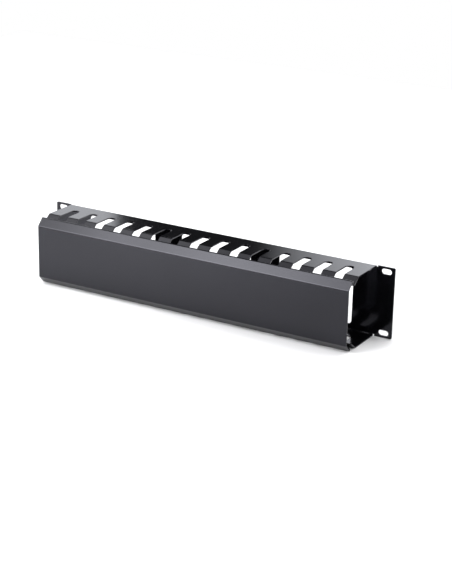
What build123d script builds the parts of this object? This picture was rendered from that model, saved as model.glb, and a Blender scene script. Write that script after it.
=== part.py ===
from build123d import *
from math import cos, radians, sin
import os

# A two-unit, 19 inch horizontal cable manager for the front of an equipment rack.
# One folded steel sheet makes the duct: a back plate with three windows, two ears that
# bolt to the rack, and a top and a bottom flange cut into fingers. A second folded sheet
# is the cover, which spring clips hold on the fingers' bent front ends.
# X runs along the duct, Y to the back and Z up. The origin is the middle of the ears'
# slot pattern, on the rear faces that meet the rack's posts. Sizes are in millimetres.

# Duct sheet
panel_width = 482.6
panel_height = 88.1
ear_width = 23.8
duct_depth = 50.0
duct_sheet = 1.5
duct_bend_radius = 1.5

# Fingers, and the slots between them
slot_count = 15
slot_width = 11.2
slot_setback = 20.5
end_finger_width = 17.5
lip_length = 12.9
lip_angle = 36.5
lip_corner_radius = 1.5

# Back plate windows
window_count = 3
window_web = 39.2
window_side_margin = 29.0
window_rim_top = 9.7
window_rim_bottom = 8.3
window_corner_radius = 5.0

# Rack ears
ear_slot_length = 12.8
ear_slot_height = 6.7
ear_slot_edge_x = 10.8
ear_slot_edge_z = 5.95
ear_corner_radius = 2.0
relief_width = 1.5
relief_depth = 2.3

# Cover sheet
cover_sheet = 1.2
cover_bend_radius = 1.2
cover_reach = 13.6
cover_drop = 1.0
chamfer_rise = 9.4
chamfer_angle = 43.0
hem_gap = 1.2
hem_return = 3.6

# Spring clips behind the cover
spring_sheet = 0.8
spring_width = 12.0
spring_bend_radius = 1.2
spring_clearance = 0.3
spring_overlap = 3.0
spring_knee = 4.0
spring_tip_run = 3.0
spring_tip_drop = 1.6
spring_fingers = (2, 6)

# Places that follow from the sizes above
half_height = panel_height / 2
duct_length = panel_width - 2 * ear_width
slot_pitch = (duct_length - 2 * end_finger_width - slot_width) / (slot_count - 1)
slot_arc_y = -(slot_setback + slot_width / 2)
lip_run = lip_length * cos(radians(lip_angle))
lip_fall = lip_length * sin(radians(lip_angle))
lip_end_y = -(duct_depth + lip_run)
lip_end_z = half_height - lip_fall
lip_inner_y = lip_end_y + duct_sheet * sin(radians(lip_angle))
lip_inner_z = lip_end_z - duct_sheet * cos(radians(lip_angle))

window_row_length = duct_length - 2 * window_side_margin
window_width = (window_row_length - (window_count - 1) * window_web) / window_count
window_pitch = window_width + window_web
window_height = panel_height - window_rim_top - window_rim_bottom
window_middle_z = (window_rim_bottom - window_rim_top) / 2
ear_slot_spacing_x = panel_width - 2 * ear_slot_edge_x
ear_slot_spacing_z = panel_height - 2 * ear_slot_edge_z

cover_front_y = lip_end_y - cover_reach
cover_back_y = cover_front_y + cover_sheet
cover_half_height = half_height - cover_drop
cover_outer_bend = cover_bend_radius + cover_sheet
hem_outer_radius = hem_gap / 2 + cover_sheet
face_half_height = cover_half_height - chamfer_rise
chamfer_tangent = cover_outer_bend * sin(radians(chamfer_angle)) / (1 + cos(radians(chamfer_angle)))
hem_climb = hem_outer_radius * (1 - sin(radians(chamfer_angle)))
chamfer_length = (chamfer_rise - hem_climb) / cos(radians(chamfer_angle))

spring_arm_z = lip_inner_z - spring_clearance
spring_arm_end_y = lip_inner_y + spring_overlap
spring_knee_z = spring_arm_z - spring_knee


# Duct body: one sheet, cut flat and folded
with BuildPart() as duct_body:
    with BuildSketch(Plane.YZ) as channel_section:
        with BuildLine() as channel_line:
            FilletPolyline(
                (lip_end_y, lip_end_z),
                (-duct_depth, half_height),
                (0, half_height),
                (0, -half_height),
                (-duct_depth, -half_height),
                (lip_end_y, -lip_end_z),
                radius=duct_bend_radius + duct_sheet,
            )
            offset(amount=duct_sheet, side=Side.RIGHT)
        make_face()
    extrude(amount=duct_length / 2, both=True)

    with BuildSketch(Plane.XZ) as ear_outline:
        Rectangle(panel_width, panel_height)
        fillet(ear_outline.vertices(), ear_corner_radius)
        Rectangle(duct_length, panel_height, mode=Mode.SUBTRACT)
        with GridLocations(duct_length + relief_width, panel_height, 2, 2):
            SlotOverall(2 * relief_depth, relief_width, rotation=90, mode=Mode.SUBTRACT)
        with GridLocations(ear_slot_spacing_x, ear_slot_spacing_z, 2, 2):
            SlotOverall(ear_slot_length, ear_slot_height, mode=Mode.SUBTRACT)
    extrude(amount=duct_sheet)

    with BuildSketch(Plane.XZ) as window_outline:
        with Locations((0, window_middle_z)):
            with GridLocations(window_pitch, 0, window_count, 1):
                RectangleRounded(window_width, window_height, window_corner_radius)
    extrude(amount=duct_sheet, mode=Mode.SUBTRACT)

    with BuildSketch(Plane.XY.offset(-half_height)) as slot_outline:
        with Locations((0, slot_arc_y)):
            with GridLocations(slot_pitch, 0, slot_count, 1):
                Circle(slot_width / 2)
                Rectangle(slot_width, duct_depth + lip_run, align=(Align.CENTER, Align.MAX))
    extrude(amount=panel_height, mode=Mode.SUBTRACT)

    # Counting from the front, the first group of edges is the lips' long outer edges and
    # the second is the short edges across the sheet at the lips' corners
    lip_corners = duct_body.edges().group_by(Axis.Y)[1]
    fillet(lip_corners, lip_corner_radius)

duct_body.part.label = "duct_body"


# Snap cover: flat face, a chamfer along each long side and an open hem at its edge
with BuildPart() as snap_cover:
    with BuildSketch(Plane.YZ) as cover_section:
        with BuildLine() as cover_line:
            face_end = face_half_height - chamfer_tangent
            face = Line((cover_front_y, -face_end), (cover_front_y, face_end))
            bend = JernArc(face @ 1, face % 1, cover_outer_bend, -chamfer_angle)
            chamfer_side = PolarLine(bend @ 1, chamfer_length - chamfer_tangent, direction=bend % 1)
            crown = JernArc(chamfer_side @ 1, chamfer_side % 1, hem_outer_radius, -180)
            leg = PolarLine(crown @ 1, hem_return, direction=crown % 1)
            # The lines lie in the sketch's own axes, where this plane swaps top and bottom
            mirror([bend, chamfer_side, crown, leg], about=Plane.XZ)
            offset(amount=cover_sheet, side=Side.RIGHT)
        make_face()
    extrude(amount=duct_length / 2, both=True)

snap_cover.part.label = "snap_cover"


# Spring clips: each is one strip with an arm behind the top lips and one behind the bottom lips.
# A clip stands at the middle of its finger, and spring_fingers counts from either end.
spring_places = sorted(
    side * (slot_count / 2 + 1 - finger) * slot_pitch
    for finger in spring_fingers
    for side in (-1, 1)
)
spring_clips = []
for place in spring_places:
    with BuildPart() as spring_clip:
        with BuildSketch(Plane.YZ.offset(place)) as spring_section:
            with BuildLine() as spring_line:
                FilletPolyline(
                    (spring_arm_end_y + spring_tip_run, spring_arm_z - spring_tip_drop),
                    (spring_arm_end_y, spring_arm_z),
                    (cover_back_y + spring_knee, spring_arm_z),
                    (cover_back_y, spring_knee_z),
                    (cover_back_y, -spring_knee_z),
                    (cover_back_y + spring_knee, -spring_arm_z),
                    (spring_arm_end_y, -spring_arm_z),
                    (spring_arm_end_y + spring_tip_run, spring_tip_drop - spring_arm_z),
                    radius=spring_bend_radius + spring_sheet,
                )
                offset(amount=spring_sheet, side=Side.LEFT)
            make_face()
        extrude(amount=spring_width / 2, both=True)
    spring_clip.part.label = f"cover_spring_{len(spring_clips) + 1}"
    spring_clips.append(spring_clip)


os.makedirs("parts", exist_ok=True)
export_step(duct_body.part, "parts/duct_body.step")
export_step(snap_cover.part, "parts/snap_cover.step")
for spring_clip in spring_clips:
    export_step(spring_clip.part, f"parts/{spring_clip.part.label}.step")
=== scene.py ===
"""Looks of a two-unit rack cable manager: a black powder-coated finger duct with a snap cover.

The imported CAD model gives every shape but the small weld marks. This file gives the sheets their
powder coat and the clips their rolled steel, adds the weld marks that hold the clips, and sets the
studio and the camera.
"""

from __future__ import annotations

import logging
import math
from collections.abc import Callable, Iterable, Mapping
from dataclasses import dataclass
from enum import Enum

import bpy
from mathutils import Matrix, Quaternion, Vector

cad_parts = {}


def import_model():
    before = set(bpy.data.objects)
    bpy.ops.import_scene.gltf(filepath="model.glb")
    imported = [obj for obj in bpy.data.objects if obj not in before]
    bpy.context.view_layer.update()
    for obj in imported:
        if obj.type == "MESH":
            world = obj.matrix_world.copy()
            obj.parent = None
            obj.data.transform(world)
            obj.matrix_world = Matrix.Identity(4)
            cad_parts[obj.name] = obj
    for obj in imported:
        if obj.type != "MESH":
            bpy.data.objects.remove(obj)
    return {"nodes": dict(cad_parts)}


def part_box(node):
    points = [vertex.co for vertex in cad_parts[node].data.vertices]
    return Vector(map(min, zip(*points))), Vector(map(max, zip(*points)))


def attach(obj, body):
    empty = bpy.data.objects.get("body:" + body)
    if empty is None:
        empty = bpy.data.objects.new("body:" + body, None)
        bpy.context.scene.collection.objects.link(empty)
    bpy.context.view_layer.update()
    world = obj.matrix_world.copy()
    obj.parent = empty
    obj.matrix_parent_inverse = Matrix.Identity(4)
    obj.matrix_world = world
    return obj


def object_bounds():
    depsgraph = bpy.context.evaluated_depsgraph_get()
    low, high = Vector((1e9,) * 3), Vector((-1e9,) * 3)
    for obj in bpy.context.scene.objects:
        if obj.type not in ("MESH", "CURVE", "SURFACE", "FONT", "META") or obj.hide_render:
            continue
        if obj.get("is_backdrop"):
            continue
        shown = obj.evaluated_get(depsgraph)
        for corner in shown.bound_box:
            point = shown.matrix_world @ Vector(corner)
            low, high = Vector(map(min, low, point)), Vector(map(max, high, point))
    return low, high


log = logging.getLogger("cable_manager")

Pair = tuple[float, float]
Place = tuple[float, float, float]
Socket = bpy.types.NodeSocket

MM = 0.001

# The sRGB curve is a straight line up to its knee and a power above it
SRGB_KNEE = 0.04045
SRGB_SLOPE = 12.92
SRGB_OFFSET = 0.055
SRGB_POWER = 2.4

# How many finer layers a noise gets
PLAIN = 1.0
LAYERED = 2.0
FINE = 3.0

NOISE_ROUGHNESS = 0.5
BEVEL_SAMPLES = 4
WHOLE_RANGE = (0.0, 1.0)

# An area light's face shows a quarter of its power for each square metre
POWER_PER_RADIANCE = 4


class Body(Enum):
    """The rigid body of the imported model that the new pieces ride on."""

    COVER = "cover"


class Slot(Enum):
    """A material slot name for the clips' spring steel; nothing in this script uses it."""

    SPRING_STEEL = "spring_steel"


def linear(hex_colour: str) -> tuple[float, float, float, float]:
    """Turns an sRGB hex colour to the linear values that shader sockets take.

    Args:
        hex_colour: A colour such as "#1a1a1c".

    Returns:
        Linear red, green and blue, and an alpha of 1.
    """
    channels = [int(hex_colour[i:i + 2], 16) / 255 for i in (1, 3, 5)]
    red, green, blue = (
        c / SRGB_SLOPE
        if c <= SRGB_KNEE
        else ((c + SRGB_OFFSET) / (1 + SRGB_OFFSET)) ** SRGB_POWER
        for c in channels
    )
    return (red, green, blue, 1.0)


def add_node(
    tree: bpy.types.NodeTree,
    kind: str,
    settings: Mapping[str, object] | None = None,
    values: Mapping[str | int, object] | None = None,
    links: Mapping[str | int, Socket] | None = None,
) -> bpy.types.Node:
    """Adds one node with its settings, socket values and incoming links.

    Args:
        tree: The tree that gets the node.
        kind: The node's type name.
        settings: Attributes of the node itself, such as its operation.
        values: Values for its input sockets, by socket name or number.
        links: Output sockets of other nodes, by the input socket they feed.

    Returns:
        The new node.
    """
    node = tree.nodes.new(kind)
    for name, value in (settings or {}).items():
        setattr(node, name, value)
    for socket, value in (values or {}).items():
        node.inputs[socket].default_value = value
    for socket, source in (links or {}).items():
        tree.links.new(source, node.inputs[socket])
    return node


def noise(
    tree: bpy.types.NodeTree, place: Socket, size_mm: float, detail: float = LAYERED
) -> Socket:
    """Adds a noise whose spots are of a real size.

    Args:
        tree: The material's node tree.
        place: Object coordinates, in metres.
        size_mm: The distance from one spot to the next.
        detail: How many finer layers the noise gets.

    Returns:
        The noise's value, from 0 to 1.
    """
    node = add_node(
        tree,
        "ShaderNodeTexNoise",
        values={"Scale": 1 / (size_mm * MM), "Detail": detail, "Roughness": NOISE_ROUGHNESS},
        links={"Vector": place},
    )
    return node.outputs["Fac"]


def map_range(tree: bpy.types.NodeTree, value: Socket, source: Pair, target: Pair) -> Socket:
    """Maps a value from one range to another and clamps it.

    Args:
        tree: The material's node tree.
        value: The value that is mapped.
        source: The range it comes from.
        target: The range it goes to.

    Returns:
        The mapped value.
    """
    ends = ("From Min", "From Max", "To Min", "To Max")
    node = add_node(
        tree,
        "ShaderNodeMapRange",
        values=dict(zip(ends, (*source, *target))),
        links={"Value": value},
    )
    return node.outputs["Result"]


def mix(
    tree: bpy.types.NodeTree, first: str | Socket, second: str | Socket, factor: Socket
) -> Socket:
    """Mixes two colours, each an sRGB hex value or another node's output.

    Args:
        tree: The material's node tree.
        first: The colour where the factor is 0.
        second: The colour where the factor is 1.
        factor: How much of the second colour shows.

    Returns:
        The mixed colour.
    """
    colours = {"A": first, "B": second}
    plain = {name: linear(c) for name, c in colours.items() if isinstance(c, str)}
    linked = {name: c for name, c in colours.items() if name not in plain}
    node = add_node(
        tree, "ShaderNodeMix", {"data_type": "RGBA"}, plain, {"Factor": factor, **linked}
    )
    return node.outputs["Result"]


def rounded_normal(tree: bpy.types.NodeTree, radius_mm: float) -> Socket:
    """Gives the surface's direction as if its edges were rounded.

    Args:
        tree: The material's node tree.
        radius_mm: The edges' radius.

    Returns:
        The rounded surface's direction.
    """
    node = add_node(
        tree, "ShaderNodeBevel", {"samples": BEVEL_SAMPLES}, {"Radius": radius_mm * MM}
    )
    return node.outputs["Normal"]


def bump(
    tree: bpy.types.NodeTree, height: Socket, height_mm: float, surface: Socket
) -> Socket:
    """Adds a relief of a real height.

    Args:
        tree: The material's node tree.
        height: The relief, from 0 to 1.
        height_mm: How high a value of 1 is.
        surface: The direction of the surface under the relief.

    Returns:
        The direction of the surface with the relief.
    """
    node = add_node(
        tree,
        "ShaderNodeBump",
        values={"Strength": 1.0, "Distance": height_mm * MM},
        links={"Height": height, "Normal": surface},
    )
    return node.outputs["Normal"]


@dataclass(frozen=True)
class Finish:
    """A real material. Each kind of finish gives the nodes of its own surface."""

    name: str

    def surface(self, tree: bpy.types.NodeTree, place: Socket) -> bpy.types.Node:
        """Adds the nodes of the finish.

        Args:
            tree: The material's node tree.
            place: Object coordinates, in metres.

        Returns:
            The finish's shader.
        """
        raise NotImplementedError

    def build(self) -> bpy.types.Material:
        """Builds the material.

        Returns:
            The finished material.
        """
        material = bpy.data.materials.new(self.name)
        material.use_nodes = True
        tree = material.node_tree
        tree.nodes.clear()
        place = add_node(tree, "ShaderNodeTexCoord").outputs["Object"]
        shader = self.surface(tree, place)
        add_node(tree, "ShaderNodeOutputMaterial", links={"Surface": shader.outputs["BSDF"]})
        return material


@dataclass(frozen=True)
class PowderCoat(Finish):
    """Satin black polyester powder coat, sprayed dry and baked onto folded sheet steel.

    The eye gets a deep black with a clear, slightly wavy reflection: orange peel a few millimetres
    across, a fine grain in the gloss, a faint cloudiness where the coat is thicker or thinner, and
    cut edges that are rounded by the coat and a little greyer where it runs thin.
    """

    name: str = "satin_black_powder_coat"
    pigment: str = "#060608"
    thin_pigment: str = "#0a0a0d"
    edge_tone: str = "#222226"
    sheen: str = "#f1f1fe"
    ior: float = 1.42
    roughness: Pair = (0.1, 0.15)
    gloss_mm: float = 2.0
    gloss_band: Pair = (0.3, 0.7)
    cloud_mm: float = 55.0
    cloud_band: Pair = (0.35, 0.65)
    peel_mm: float = 2.8
    peel_height_mm: float = 0.0025
    grain_mm: float = 0.5
    grain_height_mm: float = 0.0004
    edge_radius_mm: float = 0.45
    edge_cosines: Pair = (0.995, 0.85)
    wear_mm: float = 9.0
    wear_band: Pair = (0.35, 0.7)
    wear_share: Pair = (0.25, 1.0)

    def surface(self, tree: bpy.types.NodeTree, place: Socket) -> bpy.types.Node:
        """Adds the nodes of the finish.

        Args:
            tree: The material's node tree.
            place: Object coordinates, in metres.

        Returns:
            The finish's shader.
        """
        # The coat rounds every cut edge, and runs thin where the rounding turns the surface
        rounded = rounded_normal(tree, self.edge_radius_mm)
        flat = add_node(tree, "ShaderNodeNewGeometry").outputs["Normal"]
        turned = add_node(
            tree, "ShaderNodeVectorMath", {"operation": "DOT_PRODUCT"}, links={0: rounded, 1: flat}
        ).outputs["Value"]
        edge = map_range(tree, turned, self.edge_cosines, WHOLE_RANGE)
        wear = map_range(
            tree, noise(tree, place, self.wear_mm, FINE), self.wear_band, self.wear_share
        )
        thin = add_node(
            tree, "ShaderNodeMath", {"operation": "MULTIPLY"}, links={0: edge, 1: wear}
        ).outputs["Value"]
        cloud = map_range(tree, noise(tree, place, self.cloud_mm), self.cloud_band, WHOLE_RANGE)
        body = mix(tree, self.pigment, self.thin_pigment, cloud)
        gloss = map_range(
            tree, noise(tree, place, self.gloss_mm, FINE), self.gloss_band, self.roughness
        )
        # The grain is drawn coarser than the real 0.1 mm, which is too fine to show
        peel = bump(tree, noise(tree, place, self.peel_mm, PLAIN), self.peel_height_mm, rounded)
        grain = bump(tree, noise(tree, place, self.grain_mm, PLAIN), self.grain_height_mm, peel)
        return add_node(
            tree,
            "ShaderNodeBsdfPrincipled",
            values={"IOR": self.ior, "Metallic": 0.0, "Specular Tint": linear(self.sheen)},
            links={
                "Base Color": mix(tree, body, self.edge_tone, thin),
                "Roughness": gloss,
                "Normal": grain,
            },
        )


@dataclass(frozen=True)
class RolledSteel(Finish):
    """Bare cold-rolled spring steel strip.

    The eye gets a soft grey metal shine with fine lines along the strip from the rolls, and cut
    edges that catch the light.
    """

    name: str = "cold_rolled_spring_steel"
    dull: str = "#74767c"
    bright: str = "#8e9096"
    tone_band: Pair = (0.35, 0.65)
    roughness: Pair = (0.24, 0.38)
    gloss_band: Pair = (0.3, 0.7)
    line_mm: float = 0.35
    line_length_mm: float = 24.0
    line_height_mm: float = 0.0006
    edge_radius_mm: float = 0.25

    def surface(self, tree: bpy.types.NodeTree, place: Socket) -> bpy.types.Node:
        """Adds the nodes of the finish.

        Args:
            tree: The material's node tree.
            place: Object coordinates, in metres.

        Returns:
            The finish's shader.
        """
        # The rolls' lines run along the strip, so they are narrow across it, which is along X
        stretch = self.line_mm / self.line_length_mm
        along = add_node(
            tree,
            "ShaderNodeMapping",
            values={"Scale": (1.0, stretch, stretch)},
            links={"Vector": place},
        ).outputs["Vector"]
        lines = noise(tree, along, self.line_mm, FINE)
        tone = map_range(tree, lines, self.tone_band, WHOLE_RANGE)
        rounded = rounded_normal(tree, self.edge_radius_mm)
        return add_node(
            tree,
            "ShaderNodeBsdfPrincipled",
            values={"Metallic": 1.0},
            links={
                "Base Color": mix(tree, self.dull, self.bright, tone),
                "Roughness": map_range(tree, lines, self.gloss_band, self.roughness),
                "Normal": bump(tree, lines, self.line_height_mm, rounded),
            },
        )


@dataclass(frozen=True)
class HeatTintedSteel(Finish):
    """Steel around a resistance spot weld, tinted by its heat.

    The eye gets a duller, slightly straw-brown disc with a mottled sheen in the bare strip.
    """

    name: str = "heat_tinted_weld_steel"
    straw: str = "#85796a"
    blue: str = "#5f6470"
    tint_band: Pair = (0.4, 0.6)
    roughness: Pair = (0.36, 0.5)
    gloss_band: Pair = (0.3, 0.7)
    mottle_mm: float = 0.9

    def surface(self, tree: bpy.types.NodeTree, place: Socket) -> bpy.types.Node:
        """Adds the nodes of the finish.

        Args:
            tree: The material's node tree.
            place: Object coordinates, in metres.

        Returns:
            The finish's shader.
        """
        mottle = noise(tree, place, self.mottle_mm, FINE)
        tint = map_range(tree, mottle, self.tint_band, WHOLE_RANGE)
        return add_node(
            tree,
            "ShaderNodeBsdfPrincipled",
            values={"Metallic": 1.0},
            links={
                "Base Color": mix(tree, self.straw, self.blue, tint),
                "Roughness": map_range(tree, mottle, self.gloss_band, self.roughness),
            },
        )


@dataclass(frozen=True)
class StudioWhite(Finish):
    """Matt white studio board, sprayed.

    The eye gets a pale even floor whose unevenness can barely be seen.
    """

    name: str = "matt_white_board"
    light: str = "#f0f0f1"
    shade: str = "#ececee"
    roughness: float = 0.9
    gloss: float = 0.2
    patch_mm: float = 400.0

    def surface(self, tree: bpy.types.NodeTree, place: Socket) -> bpy.types.Node:
        """Adds the nodes of the finish.

        Args:
            tree: The material's node tree.
            place: Object coordinates, in metres.

        Returns:
            The finish's shader.
        """
        patches = noise(tree, place, self.patch_mm)
        return add_node(
            tree,
            "ShaderNodeBsdfPrincipled",
            values={"Roughness": self.roughness, "Specular IOR Level": self.gloss},
            links={"Base Color": mix(tree, self.light, self.shade, patches)},
        )


def dress(piece: bpy.types.Object, material: bpy.types.Material) -> None:
    """Gives every slot of a piece one material.

    Args:
        piece: The piece or CAD node.
        material: The finish it gets.
    """
    if not piece.material_slots:
        piece.data.materials.append(material)
    for slot in piece.material_slots:
        slot.material = material


def deselect_all() -> None:
    """Leaves edit mode and clears the selection."""
    if bpy.context.object and bpy.context.object.mode != "OBJECT":
        bpy.ops.object.mode_set(mode="OBJECT")
    bpy.ops.object.select_all(action="DESELECT")


def choose_faces(
    piece: bpy.types.Object, test: Callable[[bpy.types.MeshPolygon], bool]
) -> None:
    """Selects the faces of a piece that pass a test, and leaves it in edit mode.

    Args:
        piece: The piece, in object mode and active.
        test: Takes a face and says whether it is wanted.
    """
    bpy.ops.object.mode_set(mode="EDIT")
    bpy.ops.mesh.select_mode(type="FACE")
    bpy.ops.mesh.select_all(action="DESELECT")
    bpy.ops.object.mode_set(mode="OBJECT")
    for face in piece.data.polygons:
        face.select = bool(test(face))
    bpy.ops.object.mode_set(mode="EDIT")


@dataclass
class Duct:
    """The folded duct body, which is one CAD node."""

    node: str = "duct_body"

    def dress(
        self, nodes: Mapping[str, bpy.types.Object], coat: bpy.types.Material
    ) -> None:
        """Gives the sheet its powder coat.

        Args:
            nodes: The CAD nodes by name.
            coat: The powder coat.
        """
        dress(nodes[self.node], coat)
        log.info("%s: %s", self.node, coat.name)


@dataclass
class Cover:
    """The snap cover with its four spring clips and the weld marks that hold them."""

    node: str = "snap_cover"
    clip_prefix: str = "cover_spring_"
    clip_sheet_mm: float = 0.8
    weld_radius_mm: float = 2.2
    weld_rise_mm: float = 0.25
    weld_rim_mm: float = 0.5
    weld_dish_mm: float = 0.15
    weld_soft_mm: float = 0.05
    weld_soft_steps: int = 2
    weld_height_mm: float = 17.0
    weld_sides: int = 32
    smooth_below_degrees: float = 50.0
    faces_back: float = 0.9

    def dress(
        self,
        nodes: Mapping[str, bpy.types.Object],
        coat: bpy.types.Material,
        steel: bpy.types.Material,
    ) -> None:
        """Gives the cover its powder coat and the clips their steel.

        Args:
            nodes: The CAD nodes by name.
            coat: The cover's powder coat.
            steel: The clips' rolled steel.
        """
        dress(nodes[self.node], coat)
        for name in self.clip_names(nodes):
            dress(nodes[name], steel)
        log.info("%s and its clips: %s, %s", self.node, coat.name, steel.name)

    def clip_names(self, nodes: Iterable[str]) -> list[str]:
        """Lists the clips.

        Args:
            nodes: The CAD nodes' names.

        Returns:
            The clips' node names in order.
        """
        return sorted(name for name in nodes if name.startswith(self.clip_prefix))

    def weld_mark(self) -> bpy.types.Object:
        """Models one spot weld's mark: a low round rise with a dished middle, facing the back.

        Returns:
            The mark, in the middle of the frame.
        """
        rise = self.weld_rise_mm * MM
        deselect_all()
        bpy.ops.mesh.primitive_cylinder_add(
            vertices=self.weld_sides,
            radius=self.weld_radius_mm * MM,
            depth=rise,
            rotation=(math.radians(-90), 0, 0),
            location=(0, rise / 2, 0),
        )
        mark = bpy.context.object
        bpy.ops.object.transform_apply(location=True, rotation=True, scale=True)
        choose_faces(mark, lambda face: face.normal.y > self.faces_back)
        bpy.ops.mesh.inset(thickness=self.weld_rim_mm * MM)
        bpy.ops.mesh.extrude_region_move(
            TRANSFORM_OT_translate={"value": (0, -self.weld_dish_mm * MM, 0)}
        )
        bpy.ops.mesh.inset(thickness=self.weld_rim_mm * MM)
        bpy.ops.object.mode_set(mode="OBJECT")
        soft = mark.modifiers.new("soft_rim", "BEVEL")
        soft.width = self.weld_soft_mm * MM
        soft.segments = self.weld_soft_steps
        bpy.ops.object.modifier_apply(modifier=soft.name)
        bpy.ops.object.shade_smooth_by_angle(angle=math.radians(self.smooth_below_degrees))
        return mark

    def add_weld_marks(
        self, nodes: Mapping[str, bpy.types.Object], finish: bpy.types.Material
    ) -> None:
        """Puts two weld marks on each clip's base.

        Args:
            nodes: The CAD nodes by name.
            finish: The marks' heat-tinted steel.
        """
        first = self.weld_mark()
        marks = []
        for name in self.clip_names(nodes):
            low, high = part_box(name)
            for side in (-1, 1):
                place = Vector((
                    (low.x + high.x) / 2,
                    low.y + self.clip_sheet_mm * MM,
                    side * self.weld_height_mm * MM,
                ))
                mark = bpy.data.objects.new(f"weld_mark_{len(marks) + 1}", first.data.copy())
                mark.data.transform(Matrix.Translation(place))
                bpy.context.scene.collection.objects.link(mark)
                marks.append(mark)
        bpy.data.objects.remove(first)
        for mark in marks:
            dress(mark, finish)
            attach(mark, Body.COVER.value)
            log.info("%s rides on %s", mark.name, Body.COVER.value)


@dataclass(frozen=True)
class SoftBox:
    """A flat studio light that faces the object.

    Args:
        name: The light's name.
        place: Its middle, in metres.
        aim: The point it faces.
        width: Its width in metres, level with the floor.
        height: Its height in metres.
        radiance: How bright its face looks, where 1 is white.
        feather: Its brightness across its width, as places and levels from 0 to 1. Place 0 is its
            left side as seen from behind it, looking at the object.
        spread: The angle its grid lets light out over, in degrees.
        turn: How far it is turned about the line to its aim, in degrees.
        tint: The colour of its light, as an sRGB hex value.
    """

    name: str
    place: Place
    aim: Place
    width: float
    height: float
    radiance: float
    feather: tuple[Pair, ...] = ()
    spread: float = 180.0
    turn: float = 0.0
    tint: str = "#ffffff"

    def build(self) -> bpy.types.Object:
        """Adds the light.

        Returns:
            The light's object.
        """
        lamp = bpy.data.lights.new(self.name, "AREA")
        lamp.shape = "RECTANGLE"
        lamp.size = self.width
        lamp.size_y = self.height
        lamp.energy = POWER_PER_RADIANCE * self.width * self.height * self.radiance
        lamp.spread = math.radians(self.spread)
        lamp.color = linear(self.tint)[:3]
        box = bpy.data.objects.new(self.name, lamp)
        box.location = self.place
        facing = (Vector(self.aim) - Vector(self.place)).to_track_quat("-Z", "Y")
        turned = Quaternion((0.0, 0.0, 1.0), math.radians(self.turn))
        box.rotation_euler = (facing @ turned).to_euler()
        box.visible_camera = False
        bpy.context.scene.collection.objects.link(box)
        if self.feather:
            self.feather_face(lamp)
        return box

    def feather_face(self, lamp: bpy.types.Light) -> None:
        """Lets the light's face brighten and dim across its width.

        Args:
            lamp: The light's data.
        """
        lamp.use_nodes = True
        tree = lamp.node_tree
        tree.nodes.clear()
        face = add_node(tree, "ShaderNodeNewGeometry").outputs["Parametric"]
        across = add_node(tree, "ShaderNodeSeparateXYZ", links={0: face}).outputs["X"]
        ramp = add_node(tree, "ShaderNodeValToRGB", links={"Fac": across})
        stops = ramp.color_ramp.elements
        while len(stops) < len(self.feather):
            stops.new(1.0)
        for stop, (place, level) in zip(stops, self.feather):
            stop.position = place
            stop.color = (level, level, level, 1.0)
        glow = add_node(tree, "ShaderNodeEmission", links={"Strength": ramp.outputs["Color"]})
        add_node(tree, "ShaderNodeOutputLight", links={"Surface": glow.outputs["Emission"]})


SOFT_BOXES = (
    # Lights the floor from above and behind
    SoftBox(
        name="overhead_bank", place=(0.7, 1.2, 2.4), aim=(0.7, 1.2, 0.0),
        width=3.0, height=2.0, radiance=3.75,
    ),
    # The cover's top chamfer mirrors it from end to end
    SoftBox(
        name="front_bank", place=(-1.35, -1.42, 2.05), aim=(-1.35, 0.0, 0.07),
        width=1.9, height=1.1, radiance=6.95, turn=-4.2,
        feather=(
            (0.0, 0.05), (0.26, 0.6), (0.31, 0.87), (0.385, 0.71), (0.5, 0.98),
            (0.58, 0.93), (0.69, 0.75), (0.76, 0.54), (0.81, 0.7), (1.0, 0.35),
        ),
    ),
    # The fingers' bent ends mirror it
    SoftBox(
        name="lip_bank", place=(-1.25, -0.2, 2.2), aim=(-1.25, -0.2, 0.0),
        width=1.7, height=0.6, radiance=2.22,
        feather=(
            (0.2, 0.8), (0.3, 0.88), (0.42, 1.0), (0.53, 0.67), (0.68, 0.45), (0.8, 0.52),
            (1.0, 0.5),
        ),
    ),
    # The bend over the cover's front mirrors it, which gives the bend its bright line
    SoftBox(
        name="left_card", place=(-1.02, -1.56, 0.85), aim=(0.08, -0.13, 0.0),
        width=1.2, height=1.35, radiance=7.1,
        feather=((0.0, 0.55), (0.29, 0.62), (0.35, 0.8), (0.45, 0.88), (0.6, 1.0)),
    ),
    # Keeps the shadow at the right ear's foot pale
    SoftBox(
        name="right_bank", place=(2.0, -0.5, 1.3), aim=(0.2, -0.05, 0.0),
        width=1.4, height=1.0, radiance=5.0,
    ),
    # Brightens the floor that the left half of the cover's front mirrors
    SoftBox(
        name="floor_pool", place=(-0.28, -0.5, 1.2), aim=(-0.2, -0.37, 0.0),
        width=0.2, height=0.2, radiance=4.3, spread=32.0,
    ),
    # The left end of the duct's top mirrors it
    SoftBox(
        name="rear_left_card", place=(-1.977, 1.5, 0.75), aim=(-1.977, 0.0, 0.75),
        width=1.6, height=1.1, radiance=1.57, tint="#f8faff",
    ),
    # The right half of the duct's top mirrors it, and its dark side makes the middle black
    SoftBox(
        name="rear_right_card", place=(-0.49, 1.5, 0.75), aim=(-0.49, 0.0, 0.75),
        width=1.38, height=1.1, radiance=2.36, tint="#f8faff",
        feather=(
            (0.3, 1.0), (0.362, 0.98), (0.478, 0.79), (0.558, 0.54), (0.63, 0.29),
            (0.674, 0.08), (0.7, 0.003), (1.0, 0.003),
        ),
    ),
)


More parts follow.
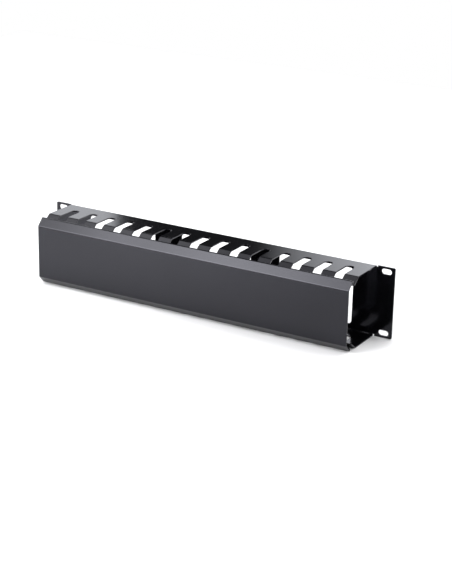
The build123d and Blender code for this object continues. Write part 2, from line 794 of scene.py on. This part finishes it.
@dataclass
class Studio:
    """The pale floor, the soft boxes, the dim room and the camera."""

    floor_size: float = 2.6
    floor_gap_mm: float = 0.05
    room_tone: float = 0.02
    backdrop: str = "#ffffff"
    azimuth: float = 30.0619
    elevation: float = 19.9718
    roll: float = 1.1883
    distance: float = 1.9024578
    target: Place = (0.0149965, 0.0, -0.0304445)
    focal_px: float = 1532.8035
    picture_height_px: int = 584
    sensor_mm: float = 36.0
    sees_from: float = 0.05
    sees_to: float = 60.0
    boxes: tuple[SoftBox, ...] = SOFT_BOXES

    def add_floor(self, level: float) -> None:
        """Lays the floor under the object.

        Args:
            level: The height of the object's lowest point, in metres.
        """
        deselect_all()
        bpy.ops.mesh.primitive_plane_add(
            size=self.floor_size, location=(0, 0, level - self.floor_gap_mm * MM)
        )
        floor = bpy.context.object
        floor.name = "studio_floor"
        bpy.ops.object.transform_apply(location=True, rotation=True, scale=True)
        dress(floor, StudioWhite().build())
        floor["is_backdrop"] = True

    def add_room(self) -> None:
        """Makes the room dim in reflections and pale behind the floor's far edge."""
        world = bpy.data.worlds.new("studio_room")
        bpy.context.scene.world = world
        world.use_nodes = True
        tree = world.node_tree
        tree.nodes.clear()
        dim = add_node(tree, "ShaderNodeBackground", values={"Strength": self.room_tone})
        pale = add_node(tree, "ShaderNodeBackground", values={"Color": linear(self.backdrop)})
        seen = add_node(tree, "ShaderNodeLightPath").outputs["Is Camera Ray"]
        both = add_node(
            tree,
            "ShaderNodeMixShader",
            links={"Fac": seen, 1: dim.outputs["Background"], 2: pale.outputs["Background"]},
        )
        add_node(tree, "ShaderNodeOutputWorld", links={"Surface": both.outputs["Shader"]})

    def add_camera(self) -> None:
        """Sets the camera where the photograph was taken."""
        azimuth = math.radians(self.azimuth)
        elevation = math.radians(self.elevation)
        roll = math.radians(self.roll)
        away = Vector((
            math.sin(azimuth) * math.cos(elevation),
            -math.cos(azimuth) * math.cos(elevation),
            math.sin(elevation),
        ))
        right = Vector((math.cos(azimuth), math.sin(azimuth), 0.0))
        above = away.cross(right)
        rolled_right = right * math.cos(roll) + above * math.sin(roll)
        rolled_above = above * math.cos(roll) - right * math.sin(roll)
        lens = bpy.data.cameras.new("photo_camera")
        lens.sensor_width = self.sensor_mm
        lens.lens = self.focal_px * self.sensor_mm / self.picture_height_px
        lens.clip_start = self.sees_from
        lens.clip_end = self.sees_to
        camera = bpy.data.objects.new("photo_camera", lens)
        turn = Matrix((rolled_right, rolled_above, away)).transposed().to_4x4()
        stand = Vector(self.target) + away * self.distance
        camera.matrix_world = Matrix.Translation(stand) @ turn
        bpy.context.scene.collection.objects.link(camera)
        bpy.context.scene.camera = camera

    def build(self, level: float) -> None:
        """Builds the whole studio.

        Args:
            level: The height of the object's lowest point, in metres.
        """
        self.add_floor(level)
        self.add_room()
        for box in self.boxes:
            box.build()
        self.add_camera()
        bpy.context.scene.view_settings.view_transform = "Standard"
        log.info("studio: floor at %.4f m, %d soft boxes", level, len(self.boxes))


def main() -> None:
    """Loads the frame, dresses it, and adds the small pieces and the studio."""
    logging.basicConfig(level=logging.INFO, format="%(name)s: %(message)s")
    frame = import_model()
    cad_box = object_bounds()
    nodes = frame["nodes"]
    coat = PowderCoat().build()
    steel = RolledSteel().build()
    Duct().dress(nodes, coat)
    cover = Cover()
    cover.dress(nodes, coat, steel)
    cover.add_weld_marks(nodes, HeatTintedSteel().build())
    Studio().build(min(corner[2] for corner in cad_box))
    deselect_all()


if __name__ == "__main__":
    main()
